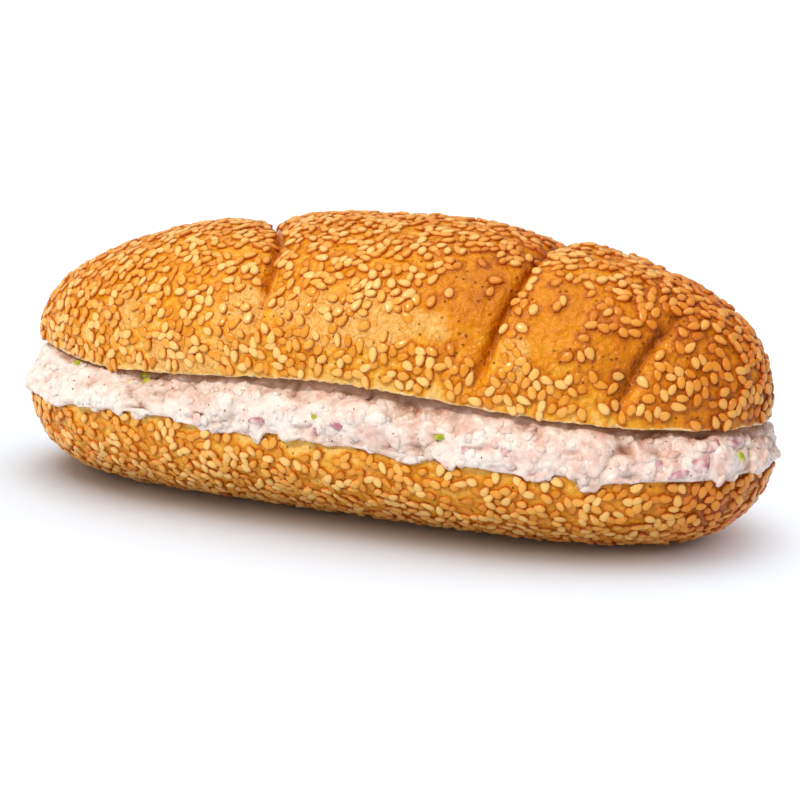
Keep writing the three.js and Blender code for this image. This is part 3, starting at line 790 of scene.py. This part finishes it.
def unit_block():
    """The points and faces of a cube from -1 to 1 with 4 squares along each edge."""
    block = bmesh.new()
    bmesh.ops.create_cube(block, size=2)
    bmesh.ops.subdivide_edges(block, edges=block.edges[:], cuts=3, use_grid_fill=True)
    return points_and_faces(block)


def round_the_outline(onion):
    """Pieces by their turn round the outline, from 0 to 1: those that show at the front, and
    others of the same kind along the back and the right tip."""
    random = np.random.default_rng(onion.seed)
    pieces = [(turn_of(u), v, size) for u, v, size in onion.front]
    for k in range(onion.hidden):
        turn = HIDDEN_TURNS.start + HIDDEN_TURNS.span * (k + random.uniform(0.1, 0.9)) / onion.hidden
        size = onion.front[random.integers(len(onion.front))][2]
        pieces.append((turn, random.uniform(0.25, 0.75), size))
    return pieces


def chopped(name, onion, side, normal):
    """Chopped pieces with soft edges, a little curved, each pressed into the filling's side."""
    random = np.random.default_rng(onion.seed + 1)
    block, quads = unit_block()
    reach = np.sum(np.abs(block) ** BLOCK_POWER, axis=1) ** (1 / BLOCK_POWER)
    rounded = block / reach[:, None]
    points, faces = [], []
    for turn, v, size in round_the_outline(onion):
        station = int(turn * FILLING_STATIONS) % FILLING_STATIONS
        row = ONION_ROWS_FREE + int(v * (FILLING_ROWS - 2 * ONION_ROWS_FREE))
        out = normal[station, row]
        level = np.array([-out[1], out[0], 0]) / math.hypot(out[0], out[1])
        up = np.cross(out, level)
        lean = random.uniform(-0.4, 0.4)
        along = level * math.cos(lean) + up * math.sin(lean)
        over = up * math.cos(lean) - level * math.sin(lean)
        shaped = rounded.copy()
        shaped[:, 2] *= 1 + random.uniform(-0.3, 0.3) * shaped[:, 0]
        shaped[:, 1] -= random.uniform(0.1, 0.3) * shaped[:, 0] ** 2
        shaped[:, 0] *= 1 + random.uniform(-0.4, 0.4) * shaped[:, 2]
        shaped += ONION_BULGE * shifts(shaped + 10 * len(faces), 0.9, onion.seed + 1)
        faces.append(quads + len(block) * len(points))
        sized = shaped * np.array(size) / 2
        points.append(side[station, row] + out * ONION_PROUD + sized @ np.stack([along, out, over]))
    return plain_mesh(name, np.concatenate(points), np.concatenate(faces))


# ---- what is scattered ----


def seed_shape(name, long, point):
    """One sesame seed that lies flat: a drop from above, with a low round back. "point" says
    how far its tail narrows."""
    turn = 2 * math.pi * np.arange(SEED.sides) / SEED.sides
    x = long * SEED.length / 2 * np.cos(turn)
    y = SEED.width / 2 * np.sin(turn) * (1 + point * np.cos(turn))
    points, faces, glaze_and_shade = [], [], []
    for height, size, glazed_and_shaded in SEED_RINGS:
        points += [(size * a, size * b, height * SEED.height) for a, b in zip(x, y)]
        glaze_and_shade += [glazed_and_shaded] * SEED.sides
    points.append((0, 0, SEED_CROWN * SEED.height))
    glaze_and_shade.append(0.0)
    top, sides = len(points) - 1, SEED.sides
    for ring in range(len(SEED_RINGS) - 1):
        for k in range(sides):
            a, b = ring * sides + k, ring * sides + (k + 1) % sides
            faces.append((a, b, b + sides, a + sides))
    last = top - sides
    faces += [(last + k, last + (k + 1) % sides, top) for k in range(sides)]
    faces.append(tuple(range(sides))[::-1])
    seed = plain_mesh(name, points, faces)
    store(seed, "glaze_and_shade", glaze_and_shade)
    return seed


def pool_glaze_and_shade(half, scattered):
    """Glaze gathers round the seeds, and painted shade is put round them: stores how near each
    point of the crust is to a seed, and lifts it a little there."""
    corners = vectors_of(scattered.data.vertices, "co") / MM
    tree = KDTree(len(corners))
    for index, corner in enumerate(corners):
        tree.insert(corner, index)
    tree.balance()
    crust = vectors_of(half.data.vertices, "co") / MM
    distance = np.array([tree.find(place)[2] for place in crust])
    pool_and_shade = smooth(POOL_REACH, 0.2, distance)
    store(half, "pool_and_shade", pool_and_shade)
    lifted = crust + vectors_of(half.data.vertex_normals, "vector") * (POOL_RISE * pool_and_shade)[:, None]
    half.data.vertices.foreach_set("co", (lifted * MM).astype(np.float32).ravel())
    half.data.update()


def lump_shape(name, size, seed):
    """A small uneven lump, as wide as its size in mm, whose middle lies a little under z = 0."""
    ball = bmesh.new()
    bmesh.ops.create_icosphere(ball, subdivisions=2, radius=0.5)
    points, faces = points_and_faces(ball)
    points = points * (1 + LUMP_ROUGH * noise(points, 0.45, seed))[:, None] - np.array([0, 0, LUMP_SUNK])
    return plain_mesh(name, size * points, faces)


def sowing_tree():
    """Geometry Nodes that sow shapes over a surface: random places with even spacing, each
    shape turned, sized and sunk a little differently. A place's tone runs from 0 to 1, and
    the shapes with the lowest tones are sunk the deepest."""
    tree = bpy.data.node_groups.new("sow_over_surface", "GeometryNodeTree")
    add = partial(add_node, tree)
    for kind, labels in (
        ("Geometry", ["Surface"]),
        ("Collection", ["Shapes"]),
        ("Float", ["Spacing", "Density", "Deepest"]),
        ("Vector", ["Smallest", "Largest", "Least turn", "Most turn"]),
        ("Int", ["Seed"]),
        ("Material", ["Material"]),
    ):
        for label in labels:
            tree.interface.new_socket(label, in_out="INPUT", socket_type="NodeSocket" + kind)
    tree.interface.new_socket("Sown", in_out="OUTPUT", socket_type="NodeSocketGeometry")
    given = add("NodeGroupInput")
    cover = add("GeometryNodeInputNamedAttribute", {"Name": "cover"}, data_type="FLOAT")
    places = add(
        "GeometryNodeDistributePointsOnFaces",
        {
            "Mesh": given["Surface"],
            "Distance Min": given["Spacing"],
            "Density Max": given["Density"],
            "Density Factor": cover["Attribute"],
            "Seed": given["Seed"],
        },
        distribute_method="POISSON",
    )
    # Inputs and outputs by number: 0 and 1 are vectors, 2 and 3 floats, 4 and 5 whole numbers.
    tone = add("FunctionNodeRandomValue", {2: 0.0, 3: 1.0, "Seed": 1}, data_type="FLOAT")[1]
    pick = add("FunctionNodeRandomValue", {4: 0, 5: 11, "Seed": 2}, data_type="INT")[2]
    size, turn = (
        add("FunctionNodeRandomValue", {0: least, 1: most, "Seed": seed}, data_type="FLOAT_VECTOR")[0]
        for least, most, seed in (
            (given["Smallest"], given["Largest"], 3),
            (given["Least turn"], given["Most turn"], 4),
        )
    )
    turned = add("FunctionNodeEulerToRotation", {"Euler": turn})
    lying = add(
        "FunctionNodeRotateRotation",
        {"Rotation": places["Rotation"], "Rotate By": turned["Rotation"]},
        rotation_space="LOCAL",
    )
    toned = add(
        "GeometryNodeStoreNamedAttribute",
        {"Geometry": places["Points"], "Name": "tone", "Value": tone},
        data_type="FLOAT",
        domain="POINT",
    )
    shapes = add(
        "GeometryNodeCollectionInfo",
        {"Collection": given["Shapes"], "Separate Children": True, "Reset Children": True},
    )
    placed = add(
        "GeometryNodeInstanceOnPoints",
        {
            "Points": toned["Geometry"],
            "Instance": shapes["Instances"],
            "Pick Instance": True,
            "Instance Index": pick,
            "Rotation": lying["Rotation"],
            "Scale": size,
        },
    )
    its_tone = add("GeometryNodeInputNamedAttribute", {"Name": "tone"}, data_type="FLOAT")[0]
    deepest = add("Math", {0: given["Deepest"], 1: -1.0}, operation="MULTIPLY")[0]
    sunk = add("MapRange", {"Value": its_tone, "From Max": 0.4, "To Min": deepest, "To Max": 0.0})[0]
    down = add("CombineXYZ", {"Z": sunk})[0]
    lowered = add(
        "GeometryNodeTranslateInstances",
        {"Instances": placed["Instances"], "Translation": down, "Local Space": True},
    )[0]
    real = add("GeometryNodeRealizeInstances", {"Geometry": lowered})[0]
    finished = add("GeometryNodeSetMaterial", {"Geometry": real, "Material": given["Material"]})[0]
    add("NodeGroupOutput", {"Sown": finished})
    return tree


def sown(name, tree, surface, shapes, sowing, material):
    """The plain mesh of shapes sown over a surface."""
    basket = bpy.data.collections.new(name + "_shapes")
    for shape in shapes:
        scene.collection.objects.unlink(shape)
        basket.objects.link(shape)
    given = {
        "Shapes": basket,
        "Spacing": sowing.spacing * MM,
        "Density": per(1) ** 2 * sowing.density,
        "Smallest": sowing.smallest,
        "Largest": sowing.largest,
        "Least turn": (-sowing.lean, -sowing.lean, 0.0),
        "Most turn": (sowing.lean, sowing.lean, 2 * math.pi),
        "Deepest": sowing.deepest * MM,
        "Seed": sowing.seed,
        "Material": material,
    }
    piece = linked(name, surface.data)
    modifier = piece.modifiers.new("sow", "NODES")
    modifier.node_group = tree
    for socket in tree.interface.items_tree:
        if socket.in_out == "INPUT" and socket.name in given:
            modifier[socket.identifier] = given[socket.name]
    depsgraph = bpy.context.evaluated_depsgraph_get()
    mesh = bpy.data.meshes.new_from_object(piece.evaluated_get(depsgraph), depsgraph=depsgraph)
    piece.modifiers.clear()
    piece.data = mesh
    mesh.name = name
    mesh.shade_smooth()
    for shape in shapes:
        bpy.data.objects.remove(shape)
    bpy.data.collections.remove(basket)
    return piece


def sown_seeds(name, tree, half, sowing, material):
    """Seeds sown over a half of the roll, with glaze and painted shade pooled round them."""
    shapes = [seed_shape(f"seed_{k}", long, point) for k, (long, point) in enumerate(SEED_KINDS)]
    scattered = sown(name, tree, half, shapes, sowing, material)
    pool_glaze_and_shade(half, scattered)
    return scattered


def sown_lumps(name, tree, surface, sowing, material):
    """Lumps of several widths sown over a surface."""
    shapes = [lump_shape(f"{name}_{k}", size, sowing.shapes + k) for k, size in enumerate(sowing.kinds)]
    return sown(name, tree, surface, shapes, sowing, material)


# ---- materials ----


def linear(colour):
    """An sRGB hex colour as linear red, green, blue and alpha."""
    channels = [int(colour[k : k + 2], 16) / 255 for k in (0, 2, 4)]
    return [n / 12.92 if n <= 0.04045 else ((n + 0.055) / 1.055) ** 2.4 for n in channels] + [1.0]


def per(size):
    """The scale of a pattern whose features have this size in mm, on Object coordinates."""
    return 1 / (size * MM)


def plug(tree, node, inputs):
    """Gives a node's inputs, by name or number, their values or the sockets that they link from."""
    for key, value in inputs.items():
        if isinstance(value, bpy.types.NodeSocket):
            tree.links.new(value, node.inputs[key])
        else:
            node.inputs[key].default_value = value


def add_node(tree, kind, inputs=None, stops=(), **settings):
    """Adds a node and returns its outputs. Stops are the places and colours of a colour ramp.
    A kind without "Node" in its name is a shader node."""
    node = tree.nodes.new(kind if "Node" in kind else "ShaderNode" + kind)
    for name, value in settings.items():
        setattr(node, name, value)
    plug(tree, node, inputs or {})
    for k, (place, colour) in enumerate(stops):
        marks = node.color_ramp.elements
        mark = marks[k] if k < 2 else marks.new(place)
        mark.position = place
        mark.color = linear(colour)
    return node.outputs


def new_material(name, surface, *details):
    """A material whose shader gets the inputs that the surface function gives for its tree."""
    material = bpy.data.materials.new(name)
    material.use_nodes = True
    tree = material.node_tree
    add = partial(add_node, tree)
    place = add("TexCoord")["Object"]
    plug(tree, tree.nodes["Principled BSDF"], surface(add, place, *details))
    return material


def bread_crust(add, place, bakes):
    """Egg-washed bread crust: thin brown glaze over dough, with small sharp glints, deep amber where
    the glaze pooled and painted shade lies round the seeds, dark pores, pale crackled dough where it
    tore, and a cream edge. Its browning also holds painted shade."""
    bake_and_shade, torn, rim, pool_and_shade = (
        add("Attribute", attribute_name=name)["Fac"] for name in ("bake_and_shade", "torn", "rim", "pool_and_shade")
    )
    # Blotches and grain of the glaze and wrinkles of the skin: their sizes in mm come first.
    blotches, grain, wrinkles = (
        add("TexNoise", {"Vector": place, "Scale": per(size), "Detail": detail, "Distortion": bent})[0]
        for size, detail, bent in ((3.2, 3.0, 0.0), (0.9, 3.0, 0.0), (2.3, 1.0, 0.1))
    )
    evened = bake_and_shade
    # The pool darkens the crust round the seeds: glaze and painted shade.
    for part, weight in ((blotches, 0.62), (grain, 0.42), (pool_and_shade, 0.34), (1.0, -0.6)):
        evened = add("Math", {0: part, 1: weight, 2: evened}, operation="MULTIPLY_ADD")[0]
    baked = add("ValToRGB", {"Fac": evened}, stops=bakes)[0]

    ridged = {"Vector": place, "Scale": per(1.6), "Detail": 1.0, "Distortion": 1.2, "Offset": 1.0}
    ridges = add("TexNoise", {**ridged, "Gain": 2.0}, noise_type="RIDGED_MULTIFRACTAL")[0]
    strands = add("Math", {0: ridges, 1: 0.6}, operation="MULTIPLY")[0]
    dough = add("ValToRGB", {"Fac": strands}, stops=TORN_COLOURS)[0]
    patchy = add("Math", {0: grain, 1: torn}, operation="MULTIPLY")[0]
    opened = add("MapRange", {"Value": patchy, "From Min": 0.16, "From Max": 0.5})[0]
    skin = add("Mix", {0: opened, 6: baked, 7: dough}, data_type="RGBA")[2]

    cells = add("TexVoronoi", {"Vector": place, "Scale": per(2.1), "Randomness": 1.0})
    pore = add("MapRange", {"Value": cells["Distance"], "From Min": 0.16, "From Max": 0.09})[0]
    chance = add("SeparateColor", {"Color": cells["Color"]})[0]
    chosen = add("Math", {0: chance, 1: 0.3}, operation="GREATER_THAN")[0]
    dark = add("Math", {0: pore, 1: chosen}, operation="MULTIPLY")[0]
    darkened = add("Math", {0: dark, 1: 0.62}, operation="MULTIPLY")[0]
    pored = add("Mix", {0: darkened, 6: skin, 7: linear("80400C")}, data_type="RGBA")[2]

    ragged = add("Math", {0: blotches, 1: 2.4, 2: rim}, operation="MULTIPLY_ADD")[0]
    crumb = add("MapRange", {"Value": ragged, "From Min": 1.65, "From Max": 1.25})[0]
    crumb_colour = add("ValToRGB", {"Fac": grain}, stops=CRUMB_COLOURS)[0]
    colour = add("Mix", {0: crumb, 6: pored, 7: crumb_colour}, data_type="RGBA")[2]

    dull = add("Math", {0: crumb, 1: 0.5, 2: grain}, operation="MULTIPLY_ADD")[0]
    shine = {"Value": dull, "From Min": 0.35, "From Max": 0.75, "To Min": 0.1, "To Max": 0.28}
    raised = add("Math", {0: strands, 1: opened}, operation="MULTIPLY")[0]
    height = wrinkles
    for part, weight in ((grain, 0.5), (dark, -0.6), (raised, 0.14)):
        height = add("Math", {0: part, 1: weight, 2: height}, operation="MULTIPLY_ADD")[0]
    return {
        "IOR": 1.45, "Specular IOR Level": 0.28,
        "Base Color": colour,
        "Roughness": add("MapRange", shine)[0],
        "Normal": add("Bump", {"Height": height, "Strength": 1.0, "Distance": 1.1 * MM})[0],
    }


def toasted_sesame(add, place):
    """Toasted sesame: golden hulls with a small oily glint, browner or shaded where the crust under
    them is, and amber at the foot where the egg wash gathers and painted shade lies."""
    tone, bake_and_shade, glaze_and_shade = (
        add("Attribute", attribute_name=name)["Fac"] for name in ("tone", "bake_and_shade", "glaze_and_shade")
    )
    streaks = add("TexNoise", {"Vector": place, "Scale": per(0.9), "Detail": 2.0})[0]
    mixed = add("Math", {0: streaks, 1: 0.4, 2: tone}, operation="MULTIPLY_ADD")[0]
    colour = add("ValToRGB", {"Fac": mixed}, stops=HULL_COLOURS)[0]
    browned_or_shaded = add("MapRange", {"Value": bake_and_shade, "From Min": 0.25, "From Max": 0.8})[0]
    for share, tint in ((browned_or_shaded, "ECC680"), (glaze_and_shade, "C87818")):
        tinted = {0: share, 6: colour, 7: linear(tint)}
        colour = add("Mix", tinted, data_type="RGBA", blend_type="MULTIPLY")[2]
    return {
        "IOR": 1.47, "Roughness": 0.22, "Specular IOR Level": 0.38,
        "Base Color": colour,
        "Normal": add("Bump", {"Height": streaks, "Strength": 0.35, "Distance": 0.12 * MM})[0],
    }


def cottage_cheese(add, place):
    """Cottage cheese in cream: white and milky, so light goes a little way into it, wet, and
    stained pink in places by red onion, more so towards the right. Painted shade darkens it in
    hollows, under the top half and at the right tip."""
    cheese_shade = add("Attribute", attribute_name="cheese_shade")["Fac"]
    # Uneven shade, pink stains, wet film and grit: their sizes in mm come first.
    shades, pinks, wet, grit = (
        add("TexNoise", {"Vector": place, "Scale": per(size), "Detail": detail})[0]
        for size, detail in ((7.0, 4.0), (4.0, 3.0), (2.0, 2.0), (0.9, 2.0))
    )
    shade_and_tone = cheese_shade
    for part, weight in ((shades, 0.5), (1.0, -0.25)):
        shade_and_tone = add("Math", {0: part, 1: weight, 2: shade_and_tone}, operation="MULTIPLY_ADD")[0]
    cream = add("ValToRGB", {"Fac": shade_and_tone}, stops=CHEESE_AND_SHADE_COLOURS)[0]
    x = add("SeparateXYZ", {"Vector": place})["X"]
    along = {"Value": x, "From Min": -60 * MM, "From Max": 85 * MM, "To Min": -0.04, "To Max": 0.1}
    rightwards = add("MapRange", along)[0]
    pinker = add("Math", {0: pinks, 1: rightwards}, operation="ADD")[0]
    stain = add("MapRange", {"Value": pinker, "From Min": 0.48, "From Max": 0.72})[0]
    stained = {0: stain, 6: cream, 7: linear("F2DAD4")}
    shine = {"Value": wet, "From Min": 0.35, "From Max": 0.65, "To Min": 0.12, "To Max": 0.42}
    return {
        "IOR": 1.38, "Specular IOR Level": 0.5,
        "Subsurface Weight": 0.4, "Subsurface Radius": (1.0, 0.8, 0.65), "Subsurface Scale": 1.5 * MM,
        "Base Color": add("Mix", stained, data_type="RGBA", blend_type="MULTIPLY")[2],
        "Roughness": add("MapRange", shine)[0],
        "Normal": add("Bump", {"Height": grit, "Strength": 0.5, "Distance": 0.7 * MM})[0],
    }


def raw_onion(add, place, colours):
    """Raw onion: crisp wet flesh in darker and paler layers, with light going into it."""
    layers = add("TexNoise", {"Vector": place, "Scale": per(2.2), "Detail": 1.0})[0]
    return {
        "IOR": 1.36, "Roughness": 0.3, "Coat Weight": 0.3,
        "Subsurface Weight": 0.3, "Subsurface Scale": 0.8 * MM,
        "Base Color": add("ValToRGB", {"Fac": layers}, stops=colours)[0],
        "Normal": add("Bump", {"Height": layers, "Strength": 0.4, "Distance": 0.3 * MM})[0],
    }


def ground_pepper(add, place):
    """Ground pepper and crumbs of onion skin: dull flakes, brown-black to brick red."""
    tone = add("Attribute", attribute_name="tone")["Fac"]
    flecks = add("TexNoise", {"Vector": place, "Scale": per(0.3)})[0]
    mixed = add("Math", {0: flecks, 1: 0.3, 2: tone}, operation="MULTIPLY_ADD")[0]
    return {"Roughness": 0.7, "Base Color": add("ValToRGB", {"Fac": mixed}, stops=PEPPER_COLOURS)[0]}


def studio_paper(add, place):
    """White studio paper: matt, with hardly any unevenness to see at this distance."""
    fibres = add("TexNoise", {"Vector": place, "Scale": per(4.0)})[0]
    colour = add("ValToRGB", {"Fac": fibres}, stops=PAPER_COLOURS)[0]
    return {"Roughness": 0.9, "Specular IOR Level": 0.1, "Base Color": colour}


# ---- camera, light and floor ----


def camera_axes():
    turn, rise = math.radians(CAMERA.azimuth), math.radians(CAMERA.elevation)
    right = Vector((math.cos(turn), math.sin(turn), 0))
    back = Vector((math.sin(turn) * math.cos(rise), -math.cos(turn) * math.cos(rise), math.sin(rise)))
    return right, back.cross(right), back


def camera():
    right, up, back = camera_axes()
    middle = Vector((0, SHIFT_Y, CAMERA.target_z))
    aim = middle + right * CAMERA.aim_right - up * CAMERA.aim_down
    eye = middle + back * CAMERA.distance
    data = bpy.data.cameras.new("camera")
    data.lens = CAMERA.lens
    data.sensor_width = CAMERA.sensor
    viewer = linked("camera", data)
    viewer.location = eye * MM
    viewer.rotation_euler = (aim - eye).to_track_quat("-Z", "Y").to_euler()
    scene.camera = viewer


def lamp(name, place):
    """A far lamp, in the direction that its shares give."""
    right, up, back = camera_axes()
    ahead = Vector((back.x, back.y, 0)).normalized()
    data = bpy.data.lights.new(name, "SUN")
    data.energy = math.pi * place.gives
    data.angle = math.radians(place.angle)
    data.color = linear(place.colour)[:3]
    light = linked(name, data)
    towards = right * place.right + Vector((0, 0, place.up)) + ahead * place.front
    light.rotation_euler = towards.to_track_quat("Z", "Y").to_euler()
    return light


def group(name, pieces):
    collection = bpy.data.collections.new(name)
    for piece in pieces:
        collection.objects.link(piece)
    return collection


def lights(sandwich, ground):
    lamp("window", WINDOW).light_linking.receiver_collection = group("only_sandwich", sandwich)
    lamp("overhead", OVERHEAD)
    lamp("backlight", BACKLIGHT).light_linking.receiver_collection = group("only_floor", [ground])
    world = bpy.data.worlds.new("studio")
    scene.world = world
    world.use_nodes = True
    tree = world.node_tree
    plug(tree, tree.nodes["Background"], {"Color": linear(SURROUND.colour), "Strength": SURROUND.strength})


def floor():
    half = FLOOR_SIZE / 2
    corners = [(x, y, FLOOR_Z) for x, y in ((-half, -half), (half, -half), (half, half), (-half, half))]
    sheet = plain_mesh("floor", corners, [(0, 1, 2, 3)])
    sheet.data.materials.append(new_material("studio_paper", studio_paper))
    return sheet


# ---- the sandwich ----


def dress(piece, material, replaced=None):
    """Gives a piece its material, tells the frame what it rides on, and hides the solid that it replaces.
    """
    piece.data.materials.clear()
    piece.data.materials.append(material)
    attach(piece, "root")
    if replaced:
        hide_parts(replaced)


sesame = new_material("toasted_sesame", toasted_sesame)
cheese = new_material("cottage_cheese", cottage_cheese)
pepper = new_material("ground_pepper", ground_pepper)
sow = sowing_tree()

top = top_half()
bottom = bottom_half()
spread, side, normal = filling()
top_seeds = sown_seeds("top_seeds", sow, top, TOP_SEEDING, sesame)
bottom_seeds = sown_seeds("bottom_seeds", sow, bottom, BOTTOM_SEEDING, sesame)
curds = sown_lumps("curds", sow, spread, CURDS, cheese)
specks = sown_lumps("ground_pepper", sow, spread, PEPPER, pepper)
red_onion = chopped("red_onion", RED_ONION, side, normal)
spring_onion = chopped("spring_onion", SPRING_ONION, side, normal)

dress(top, new_material("egg_washed_crust", bread_crust, TOP_BAKES), "top_roll")
dress(bottom, new_material("egg_washed_heel", bread_crust, BOTTOM_BAKES), "bottom_roll")
dress(spread, cheese, "filling")
dress(top_seeds, sesame)
dress(bottom_seeds, sesame)
dress(curds, cheese)
dress(specks, pepper)
dress(red_onion, new_material("red_onion", raw_onion, RED_ONION_COLOURS))
dress(spring_onion, new_material("spring_onion", raw_onion, SPRING_ONION_COLOURS))

sandwich = [top, bottom, spread, top_seeds, bottom_seeds, curds, specks, red_onion, spring_onion]
lights(sandwich, floor())
camera()
scene.view_settings.view_transform = "Standard"
